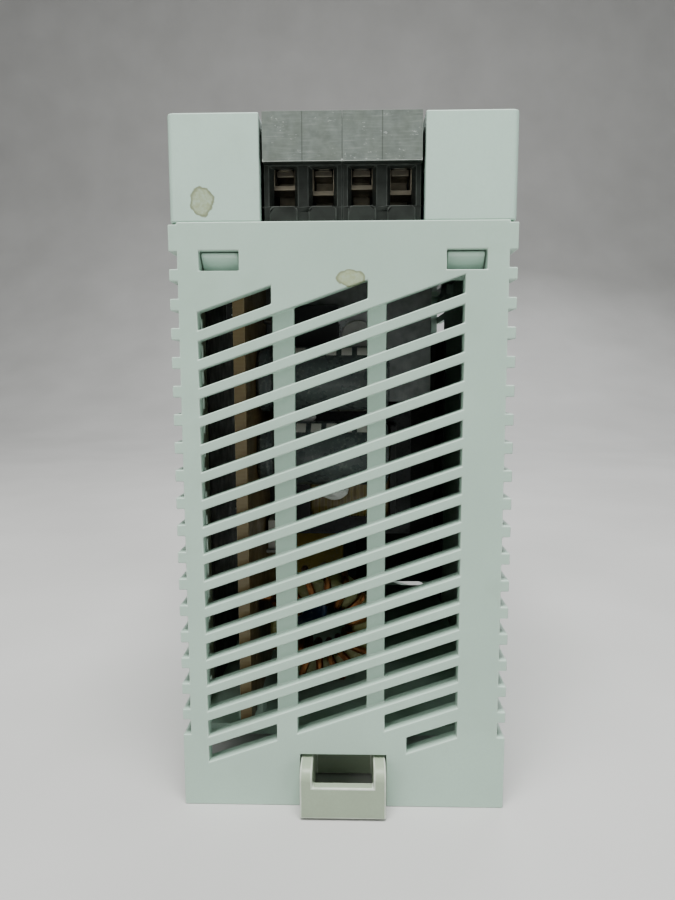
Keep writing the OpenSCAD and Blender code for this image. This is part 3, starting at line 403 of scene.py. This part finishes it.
def add_piece(name, bm, finish, body, nodes=(), sharp=40, weighted=False):
    """A piece of the object, shaded smooth up to an angle. It rides on a body and stands for CAD nodes."""
    bmesh.ops.recalc_face_normals(bm, faces=bm.faces)
    mesh = bpy.data.meshes.new(name)
    bm.to_mesh(mesh)
    bm.free()
    mesh.polygons.foreach_set("use_smooth", [True] * len(mesh.polygons))
    mesh.set_sharp_from_angle(angle=math.radians(sharp))
    for key in (finish if isinstance(finish, (list, tuple)) else [finish]):
        mesh.materials.append(FINISH[key])
    piece = bpy.data.objects.new(name, mesh)
    bpy.context.scene.collection.objects.link(piece)
    if weighted:
        normals = piece.modifiers.new("weighted_normals", "WEIGHTED_NORMAL")
        normals.keep_sharp = True
    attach(piece, body)
    if nodes:
        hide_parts(*nodes)
    return piece


def cad_copy(node, whole=True):
    """A CAD node's mesh to be worked on. Its flat faces are made whole unless many holes pierce them."""
    bm = bmesh.new()
    bm.from_mesh(frame["nodes"][node].data)
    bmesh.ops.remove_doubles(bm, verts=bm.verts, dist=0.02 * MM)
    if whole:
        bmesh.ops.dissolve_limit(bm, angle_limit=math.radians(0.3), verts=bm.verts, edges=bm.edges)
    return bm


def round_edges(bm, width, segments=2, sharp=30):
    """Rounds every sharp edge and marks the new faces, so that a finish can wear them."""
    mark = bm.faces.layers.float.new("edge")
    edges = [e for e in bm.edges if e.is_manifold and e.calc_face_angle(0) > math.radians(sharp)]
    made = bmesh.ops.bevel(
        bm, geom=edges, offset=width, offset_type="OFFSET", segments=segments, profile=0.5,
        affect="EDGES", clamp_overlap=False, loop_slide=True, miter_outer="SHARP", miter_inner="SHARP",
    )
    for face in made["faces"]:
        face[mark] = 1.0


def rounded(node, width, segments=2, sharp=30, second=None, whole=True):
    """A CAD node's shape with rounded edges. second is another finish and a test for its faces."""
    bm = cad_copy(node, whole)
    round_edges(bm, width, segments, sharp)
    finish = [SLOT_OF[node]]
    if second is not None:
        finish.append(second[0])
        for face in bm.faces:
            if second[1](face.calc_center_median()):
                face.material_index = 1
    is_moulded = "plastic" in SLOT_OF[node] or "black" in SLOT_OF[node]
    name = node + ("_moulding" if is_moulded else "_detail")
    return add_piece(name, bm, finish, BODY_OF[node], [node], weighted=True)


def skin(bm, rings):
    """Closes rings of as many corners each into one solid in bm."""
    for low, high in zip(rings, rings[1:]):
        for j in range(len(low)):
            k = (j + 1) % len(low)
            bm.faces.new((low[j], low[k], high[k], high[j]))
    bm.faces.new(list(reversed(rings[0])))
    bm.faces.new(rings[-1])


def tube(bm, points, radius, sides=10):
    """A round wire swept along points into bm."""
    side = None
    rings = []
    for k, point in enumerate(points):
        ahead = points[min(k + 1, len(points) - 1)] - points[max(k - 1, 0)]
        ahead.normalize()
        if side is None:
            side = ahead.orthogonal().normalized()
        side = (side - ahead * side.dot(ahead)).normalized()
        up = ahead.cross(side)
        ring = []
        for a in [FULL_TURN * j / sides for j in range(sides)]:
            ring.append(bm.verts.new(point + radius * (math.cos(a) * side + math.sin(a) * up)))
        rings.append(ring)
    skin(bm, rings)


def lathe(bm, profile, place, sides=48):
    """Turns a profile of (radius, height) points round Z into bm, placed by a matrix."""
    rings = []
    for radius, height in profile:
        if radius < 1e-7:
            rings.append([bm.verts.new(place @ Vector((0, 0, height)))])
            continue
        ring = []
        for a in [FULL_TURN * j / sides for j in range(sides)]:
            point = Vector((radius * math.cos(a), radius * math.sin(a), height))
            ring.append(bm.verts.new(place @ point))
        rings.append(ring)
    for low, high in zip(rings, rings[1:]):
        for j in range(sides):
            k = (j + 1) % sides
            corners = [low[j % len(low)], low[k % len(low)], high[k % len(high)], high[j % len(high)]]
            bm.faces.new(list(dict.fromkeys(corners)))


def box(bm, low, high):
    """A closed block from its two corners."""
    size = high - low
    place = Matrix.Translation((low + high) / 2) @ Matrix.Diagonal((*size, 1))
    return bmesh.ops.create_cube(bm, size=1, matrix=place)["verts"]


def solids(node):
    """Low and high corners of each separate solid in a CAD node."""
    bm = bmesh.new()
    bm.from_mesh(frame["nodes"][node].data)
    bmesh.ops.remove_doubles(bm, verts=bm.verts, dist=0.001 * MM)
    left = set(bm.verts)
    found = []
    while left:
        open_verts = [left.pop()]
        low, high = open_verts[0].co.copy(), open_verts[0].co.copy()
        while open_verts:
            vert = open_verts.pop()
            low = Vector(map(min, low, vert.co))
            high = Vector(map(max, high, vert.co))
            for edge in vert.link_edges:
                other = edge.other_vert(vert)
                if other in left:
                    left.remove(other)
                    open_verts.append(other)
        found.append((low, high))
    bm.free()
    return sorted(found, key=lambda pair: tuple(round(c, 6) for c in pair[0]))


def squared(value, power):
    """A sine or cosine pressed towards 1 and -1, which turns a circle into a rounded square."""
    return math.copysign(abs(value) ** power, value)


# away from the main board, along +X
OUTWARD = Matrix.Rotation(math.pi / 2, 4, "Y")
# the main board's parts stand on its face, and its chips are on its back
BOARD_LOW, BOARD_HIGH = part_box("main_circuit_board")
BOARD_BACK, BOARD_FACE = BOARD_LOW.x, BOARD_HIGH.x


def leads(bm, foot, centre, offsets):
    """Two bare wires from a foot below the board into a part that stands on it."""
    for dy in offsets:
        at = Vector((0, centre.y + dy, centre.z))
        tube(bm, [at + Vector((foot, 0, 0)), at + Vector((BOARD_FACE + 0.6 * MM, 0, 0))], 0.35 * MM)


def tin_below(bm, level):
    """Gives the faces below a level their piece's second finish."""
    for face in bm.faces:
        if face.calc_center_median().x < level:
            face.material_index = 1


def mouldings():
    """Every part whose CAD shape only wants rounded edges, from the case to the solder joints."""
    def soldered_to(height):
        return ("solder", lambda p: p.x < BOARD_FACE + height)

    on_leads = soldered_to(0.01 * MM)
    rounded("main_housing", 0.16 * MM)
    rounded("rail_base", 0.16 * MM, whole=False)
    rounded("front_cover", 0.22 * MM)
    rounded("din_latch", 0.22 * MM, 3)
    for node in ("output_terminal_left", "output_terminal_right", "input_terminal"):
        rounded(node, 0.09 * MM, 3, whole=False)
    for node in ("output_contacts", "input_contacts"):
        rounded(node, 0.08 * MM)
    for node in frame["nodes"]:
        if "_cage_" in node:
            rounded(node, 0.1 * MM, 3)
    for node in ("terminal_board", "main_circuit_board", "insulation_sheet"):
        rounded(node, 0.06 * MM)
    rounded("transformer_core", 0.35 * MM, 3)
    rounded("transformer_bobbin", 0.12 * MM, second=on_leads)
    rounded("line_choke_core", 0.3 * MM, 3)
    rounded("suppression_capacitor", 0.5 * MM, 3, second=on_leads)
    rounded("bridge_rectifier", 0.2 * MM, second=soldered_to(0.95 * MM))
    for node in ("varistor", "safety_capacitor"):
        rounded(node, 1.1 * MM, 4, 60, soldered_to(0.6 * MM))
    for node in ("primary_heatsink", "secondary_heatsink"):
        rounded(node, 0.12 * MM)
    tab = BOARD_FACE + 12.25 * MM
    legs = BOARD_FACE + 3.55 * MM
    for node in ("power_transistor", "output_diode"):
        rounded(node, 0.12 * MM, second=("bare_aluminium", lambda p: p.x > tab or p.x < legs))
    rounded("heatsink_screws", 0.15 * MM)
    rounded("optocoupler", 0.15 * MM, second=soldered_to(0.45 * MM))
    rounded("solder_joints", 0.05 * MM)
    rounded("trimmer_body", 0.15 * MM)
    rounded("trimmer_rotor", 0.1 * MM)
    rounded("light_pipe", 0.1 * MM)
    rounded("status_light", 0.08 * MM)
    rounded("rating_label", 0.04 * MM)


def terminal_screws():
    """Pan heads with a slot, on shanks with a real thread."""
    pitch, depth = 0.45 * MM, 0.22 * MM
    crest_half, root_half = 0.03 * MM, 0.17 * MM
    around = 24
    for node in [n for n in frame["nodes"] if "_screw_" in n]:
        bm = cad_copy(node)
        low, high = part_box(node)
        centre = (low + high) / 2
        head_low = high.z - 1.2 * MM
        # the CAD shank gives way to a threaded one of the same outer radius
        shank = [v for v in bm.verts if v.co.z < head_low - 0.02 * MM]
        radius = max(math.hypot(v.co.x - centre.x, v.co.y - centre.y) for v in shank)
        root = radius - depth
        for v in bm.verts:
            away = Vector((v.co.x - centre.x, v.co.y - centre.y, 0))
            if abs(away.length - radius) < 0.05 * MM:
                v.co -= away.normalized() * (radius - root)
        round_edges(bm, 0.12 * MM)
        turns = (head_low - low.z - 0.2 * MM) / pitch
        steps = int(turns * around)
        inner = root - 0.05 * MM
        rows = []
        for k in range(steps + 1):
            angle = FULL_TURN * k / around
            fade = min(1.0, k / around, (steps - k) / around)
            crest = root + (radius - root - 0.01 * MM) * fade
            middle = low.z + 0.1 * MM + pitch * k / around
            out = Vector((math.cos(angle), math.sin(angle), 0))
            base = Vector((centre.x, centre.y, middle))
            corners = ((inner, -root_half), (crest, -crest_half), (crest, crest_half), (inner, root_half))
            rows.append([bm.verts.new(base + out * reach + Vector((0, 0, dz))) for reach, dz in corners])
        skin(bm, rows)
        name = node + "_threaded"
        add_piece(name, bm, "screw_steel", BODY_OF[node], [node], weighted=True)


def latch_spring():
    """A real helix with closed ends, on a mesh of its own."""
    low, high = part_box("latch_spring")
    wire = 0.225 * MM
    centre = (low + high) / 2
    radius = (high.x - low.x) / 2 - wire
    length = high.y - low.y
    coils, steps = 7, 22
    closed = 1.0
    open_l = length - 2 * wire - 2 * closed * 2 * wire
    points = []
    for k in range(coils * steps + 1):
        turn = k / steps
        start = min(turn, closed) * 2 * wire
        end = max(0.0, turn - (coils - closed)) * 2 * wire
        middle = max(0.0, min(1.0, (turn - closed) / (coils - 2 * closed))) * open_l
        x = centre.x + radius * math.cos(FULL_TURN * turn)
        z = centre.z + radius * math.sin(FULL_TURN * turn)
        points.append(Vector((x, low.y + wire + start + middle + end, z)))
    bm = bmesh.new()
    tube(bm, points, wire)
    spring = add_piece("latch_spring_coil", bm, "spring_steel", CASE, ["latch_spring"])
    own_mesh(spring)


def output_choke():
    """A ring core with round enamelled wire wound on it in one length."""
    rounded("output_choke_core", 0.7 * MM, 4)
    low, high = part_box("output_choke_core")
    centre = (low + high) / 2
    outer = (high.x - low.x) / 2
    inner = 4.6 * MM
    wire = 0.55 * MM
    ring = (outer + inner) / 2
    half_r = (outer - inner) / 2 + wire
    half_y = (high.y - low.y) / 2 + wire
    turns, steps = 14, 28
    first, last = math.radians(-62), math.radians(242)
    points = []
    for k in range(turns * steps + 1):
        phase = FULL_TURN * k / steps
        angle = first + (last - first) * k / (turns * steps)
        reach = ring + half_r * squared(math.cos(phase), 0.45)
        y = half_y * squared(math.sin(phase), 0.45)
        points.append(centre + Vector((reach * math.sin(angle), y, -reach * math.cos(angle))))
    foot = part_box("output_choke_winding")[0].x
    starts = []
    for end in (points[0], points[-1]):
        starts.append([Vector((foot, end.y, end.z)), Vector(((foot + end.x) / 2, end.y, end.z))])
    path = starts[0] + points + list(reversed(starts[1]))
    bm = bmesh.new()
    tube(bm, path, wire, 8)
    add_piece("output_choke_wire", bm, "enamelled_wire", CASE, ["output_choke_winding"])


def line_choke():
    """Two coils of fine wire on the legs of the mains filter choke."""
    wire = 0.3 * MM
    steps = 24
    bm = bmesh.new()
    for low, high in solids("line_choke_windings"):
        if high.x - low.x < 5 * MM:
            box(bm, low, high)
            continue
        start = max(low.x, BOARD_FACE + 3.9 * MM)
        core_low = Vector((start, low.y + 2 * wire, low.z + 2 * wire))
        core_high = high - Vector((0, 2 * wire, 2 * wire))
        box(bm, core_low, core_high)
        centre = (core_low + core_high) / 2
        half_y = (core_high.y - core_low.y) / 2 + wire * 0.9
        half_z = (core_high.z - core_low.z) / 2 + wire * 0.9
        turns = int((core_high.x - core_low.x - 2 * wire) / (2 * wire))
        points = []
        for k in range(turns * steps + 1):
            phase = FULL_TURN * k / steps
            y = centre.y + half_y * squared(math.cos(phase), 0.4)
            z = centre.z + half_z * squared(math.sin(phase), 0.4)
            points.append(Vector((core_low.x + wire + 2 * wire * k / steps, y, z)))
        tube(bm, points, wire, 6)
        for y in (low.y + 2.2 * MM, high.y - 2.2 * MM):
            ends = [Vector((x, y, centre.z)) for x in (BOARD_FACE - 2.6 * MM, BOARD_FACE + 4.2 * MM)]
            tube(bm, ends, 0.35 * MM, 8)
    nodes = ["line_choke_windings"]
    add_piece("line_choke_coils", bm, "enamelled_wire", CASE, nodes, sharp=50)


def transformer_winding():
    """The tape-wrapped winding with well-rounded edges, and the folded end of its outer wrap."""
    node = "transformer_winding"
    bm = cad_copy(node)
    round_edges(bm, 0.5 * MM, 3)
    add_piece("transformer_tape", bm, "winding_tape", CASE, [node], weighted=True)
    low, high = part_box(node)
    middle = (low + high) / 2
    end_low = Vector((low.x + 1 * MM, middle.y + 1 * MM, high.z - 0.02 * MM))
    end_high = Vector((high.x - 1 * MM, middle.y + 5 * MM, high.z + 0.12 * MM))
    bm = bmesh.new()
    box(bm, end_low, end_high)
    bmesh.ops.bevel(bm, geom=list(bm.edges), offset=0.05 * MM, segments=2, affect="EDGES")
    add_piece("transformer_tape_end", bm, "winding_tape", CASE)


# how far a can's end lies below the rim of its sleeve
SUNK = 0.25 * MM


def can_profile(radius, length):
    """Half section of a sleeved can: foot, pressed groove, side, rounded shoulder and sunken end."""
    shoulder = 0.8 * MM
    below = [(1.1, 0.5), (0.5, 0.15), (0, 0.6), (0, 1.6), (0.35, 2.0), (0.35, 2.4), (0, 2.8)]
    points = [(0, 0.5 * MM)]
    points += [(radius - inset * MM, height * MM) for inset, height in below]
    for a in [math.pi / 2 * k / 5 for k in range(5, -1, -1)]:
        reach = radius - shoulder + shoulder * math.sin(a)
        points.append((reach, length - shoulder + shoulder * math.cos(a)))
    points += [(radius - 1.6 * MM, length), (radius - 1.8 * MM, length - SUNK), (0, length - SUNK)]
    return points


def standing_on_board(low, high):
    """Radius, length, centre and place of a round part that stands on the main board's face."""
    centre = (low + high) / 2
    place = Matrix.Translation((BOARD_FACE, centre.y, centre.z)) @ OUTWARD
    return (high.y - low.y) / 2, high.x - BOARD_FACE, centre, place


def capacitor(name, low, high, finish, node, lead_offsets):
    """A sleeved can lying out from the board, with a scored end, pale polarity marks and leads."""
    radius, length, centre, place = standing_on_board(low, high)
    bm = bmesh.new()
    lathe(bm, can_profile(radius, length), place)
    leads(bm, low.x, centre, lead_offsets)
    tin_below(bm, BOARD_FACE + 0.05 * MM)
    stands_for = [node] if name == node else ()
    add_piece(name + "_sleeve", bm, [finish, "solder"], CASE, stands_for)

    disc = radius - 1.75 * MM
    top = length - SUNK
    crown = [(disc, top + 0.06 * MM), (disc - 0.2 * MM, top + 0.12 * MM), (0, top + 0.12 * MM)]
    bm = bmesh.new()
    lathe(bm, [(0, top - 0.3 * MM), (disc, top - 0.3 * MM)] + crown, place)
    add_piece(name + "_end", bm, "bare_aluminium", CASE)

    bm = bmesh.new()
    for quarter in range(4):
        turned = place @ Matrix.Rotation(quarter * math.pi / 2, 4, "Z")
        groove_low = Vector((0.2 * MM, -0.14 * MM, top))
        groove_high = Vector((disc * 0.8, 0.14 * MM, top + 0.17 * MM))
        bmesh.ops.transform(bm, matrix=turned, verts=box(bm, groove_low, groove_high))
    add_piece(name + "_vent_score", bm, "ferrite", CASE)

    # printed dashes along one side of the sleeve
    bm = bmesh.new()
    inner, outer = radius - 0.05 * MM, radius + 0.03 * MM
    for k in range(6):
        start = 3.5 * MM + k * (length - 6 * MM) / 6
        stop = start + (length - 6 * MM) / 9
        rings = []
        for a in [math.radians(200 + 5 * j) for j in range(6)]:
            across = Vector((math.cos(a), math.sin(a), 0))
            corners = ((inner, start), (outer, start), (outer, stop), (inner, stop))
            rings.append([bm.verts.new(place @ (across * r + Vector((0, 0, z)))) for r, z in corners])
        skin(bm, rings)
    add_piece(name + "_polarity_marks", bm, "white_plastic", CASE)


def capacitors():
    """The mains-side can, and the output-side cans, whose CAD node is hidden once they are made."""
    low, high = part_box("bulk_capacitor")
    capacitor("bulk_capacitor", low, high, "bulk_sleeve", "bulk_capacitor", (-3.7 * MM, 3.7 * MM))
    node = "output_capacitors"
    for k, (low, high) in enumerate(solids(node)):
        name = f"output_capacitor_{k + 1}"
        capacitor(name, low, high, "capacitor_sleeve", node, (-2.5 * MM, 2.5 * MM))
    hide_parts(node)


def line_fuse():
    """A small wire-ended fuse in a glazed ceramic tube with a crimped cap."""
    low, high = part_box("line_fuse")
    radius, length, centre, place = standing_on_board(low, high)
    cap = [(radius - 0.3 * MM, 0), (radius, 0.3 * MM), (radius, length * 0.3)]
    barrel = [(radius - 0.15 * MM, length * 0.34), (radius - 0.15 * MM, length - 1.2 * MM)]
    dome = [(radius - 0.6 * MM, length - 0.3 * MM), (radius - 1.3 * MM, length)]
    bm = bmesh.new()
    lathe(bm, [(0, 0), *cap, *barrel, *dome, (0, length)], place)
    leads(bm, low.x, centre, (-1.6 * MM, 1.6 * MM))
    tin_below(bm, BOARD_FACE + 0.01 * MM)
    add_piece("line_fuse_tube", bm, ["fuse_body", "solder"], CASE, ["line_fuse"], sharp=50)


def control_chips():
    """Small packages with gull-wing legs on the solder side of the board."""
    rounded("control_chips", 0.12 * MM)
    pitch = 1.0 * MM
    # one leg, as distances out from the package and away from the board
    leg = ((0, 0.8 * MM), (0.3 * MM, 0.75 * MM), (0.45 * MM, 0.12 * MM), (0.95 * MM, 0.1 * MM))
    bm = bmesh.new()
    for low, high in solids("control_chips"):
        count = int((high.z - low.z) / pitch)
        for k in range(count):
            z = (low.z + high.z) / 2 + (k - (count - 1) / 2) * pitch
            for edge, side in ((low.y, -1), (high.y, 1)):
                path = [Vector((BOARD_BACK - away, edge + side * out, z)) for out, away in leg]
                tube(bm, path, 0.11 * MM, 6)
    add_piece("control_chip_legs", bm, "solder", CASE)


def board_dressing():
    """What a working board also shows: surface-mount parts on its back and silicone on tall parts."""
    rng = random.Random(11)
    chips = solids("control_chips")
    joints = [(a + b) / 2 for a, b in solids("solder_joints")]

    def taken(y, z):
        """Whether a chip, a solder joint or another small part is too near."""
        for a, b in chips:
            if a.y - 2.2 * MM < y < b.y + 2.2 * MM and a.z - 2 * MM < z < b.z + 2 * MM:
                return True
        if any(abs(j.y - y) < 2.2 * MM and abs(j.z - z) < 2.2 * MM for j in joints):
            return True
        return any(abs(a - y) < 2.4 * MM and abs(b - z) < 2.4 * MM for a, b in placed)

    bm = bmesh.new()
    placed = []
    while len(placed) < 26:
        y = rng.uniform(BOARD_LOW.y + 3 * MM, BOARD_HIGH.y - 3 * MM)
        z = rng.uniform(BOARD_LOW.z + 3 * MM, BOARD_HIGH.z - 5 * MM)
        if taken(y, z):
            continue
        placed.append((y, z))
        half = Vector((0.25, 0.8, 0.45) if rng.random() < 0.5 else (0.25, 0.45, 0.8)) * MM
        centre = Vector((BOARD_BACK - half.x, y, z))
        box(bm, centre - half, centre + half)
    bmesh.ops.bevel(bm, geom=list(bm.edges), offset=0.06 * MM, segments=2, affect="EDGES")
    add_piece("small_board_parts", bm, "black_plastic", CASE)

    cap_low, cap_high = solids("output_capacitors")[0]
    spots = (
        Vector((cap_high.x - 8.3 * MM, cap_low.y + 2.5 * MM, cap_low.z - 0.6 * MM)),
        Vector((cap_high.x - 14 * MM, cap_low.y + 7 * MM, cap_high.z + 0.6 * MM)),
    )
    for k, spot in enumerate(spots):
        bm = bmesh.new()
        bmesh.ops.create_icosphere(bm, subdivisions=4, radius=1)
        for v in bm.verts:
            lump = 1 + 0.28 * noise.noise(v.co * 1.7 + Vector((k * 7.0, 0, 0)))
            v.co = spot + Vector((v.co.x * 2.4, v.co.y * 1.5, v.co.z * 1.2)) * lump * MM
        add_piece(f"silicone_dab_{k + 1}", bm, "silicone", CASE)


mouldings()
terminal_screws()
latch_spring()
output_choke()
line_choke()
transformer_winding()
capacitors()
line_fuse()
control_chips()
board_dressing()


# ---------------------------------------------------------------- studio


def studio_floor():
    """A pale floor that curves up into a backdrop."""
    level = cad_low.z
    front, back, wide, rise, bend = -1.2, 0.9, 2.4, 1.4, 0.5
    outline = [(front, level), (back - bend, level)]
    outline += [
        (back - bend + bend * math.sin(a), level + bend - bend * math.cos(a))
        for a in [math.pi / 2 * k / 12 for k in range(1, 13)]
    ]
    outline.append((back, level + rise))
    bm = bmesh.new()
    rows = [[bm.verts.new((x, y, z)) for x in (-wide, wide)] for y, z in outline]
    for a, b in zip(rows, rows[1:]):
        bm.faces.new((a[0], a[1], b[1], b[0]))
    mesh = bpy.data.meshes.new("studio_floor")
    bm.to_mesh(mesh)
    bm.free()
    mesh.polygons.foreach_set("use_smooth", [True] * len(mesh.polygons))
    mesh.materials.append(floor_surface())
    floor = bpy.data.objects.new("studio_floor", mesh)
    bpy.context.scene.collection.objects.link(floor)


def area_light(name, place, target, size, power, colour):
    """A rectangular softbox that faces a target."""
    light = bpy.data.lights.new(name, "AREA")
    light.shape = "RECTANGLE"
    light.size, light.size_y = size
    light.energy = power
    light.color = colour
    lamp = bpy.data.objects.new(name, light)
    lamp.location = place
    lamp.rotation_euler = (Vector(target) - Vector(place)).to_track_quat("-Z", "Y").to_euler()
    bpy.context.scene.collection.objects.link(lamp)


def studio_lights():
    """A strong softbox above the front, weaker ones at its sides and behind, and a dim even sky."""
    middle = (cad_low + cad_high) / 2
    area_light("softbox_top", (0.0, -0.22, 0.62), middle, (0.36, 0.26), 7.8, (1.0, 1.0, 0.98))
    area_light("softbox_left", (-0.42, -0.50, 0.30), middle, (0.30, 0.40), 1.5, (1.0, 0.99, 0.97))
    area_light("softbox_right", (0.50, -0.46, 0.24), middle, (0.30, 0.35), 1.05, (0.97, 0.99, 1.0))
    area_light("softbox_rear", (0.16, 0.60, 0.50), middle, (0.5, 0.4), 2.6, (0.98, 0.99, 1.0))
    world = bpy.data.worlds.new("studio")
    world.use_nodes = True
    background = world.node_tree.nodes["Background"]
    background.inputs["Color"].default_value = (0.80, 0.82, 0.84, 1)
    background.inputs["Strength"].default_value = 0.13
    bpy.context.scene.world = world


def camera():
    """Close in front of the output end, a little above its middle, looking down and slightly turned."""
    distance, height = 85.74 * MM, 60.76 * MM
    turn, pitch, roll = math.radians(1.45), math.radians(6.61), math.radians(-0.15)
    aside = -0.68 * MM
    data = bpy.data.cameras.new("camera")
    data.lens = 26.0
    data.clip_start, data.clip_end = 0.002, 20
    cam = bpy.data.objects.new("camera", data)
    heading = Vector((-math.sin(turn), math.cos(turn), 0))
    right = Vector((math.cos(turn), math.sin(turn), 0))
    cam.location = Vector((0, FACE_Y, cad_low.z + height)) - heading * distance + right * aside
    aim = Euler((math.pi / 2 - pitch, 0, turn)).to_matrix()
    cam.rotation_euler = (aim @ Matrix.Rotation(roll, 3, "Z")).to_euler()
    bpy.context.scene.collection.objects.link(cam)
    bpy.context.scene.camera = cam


studio_floor()
studio_lights()
camera()
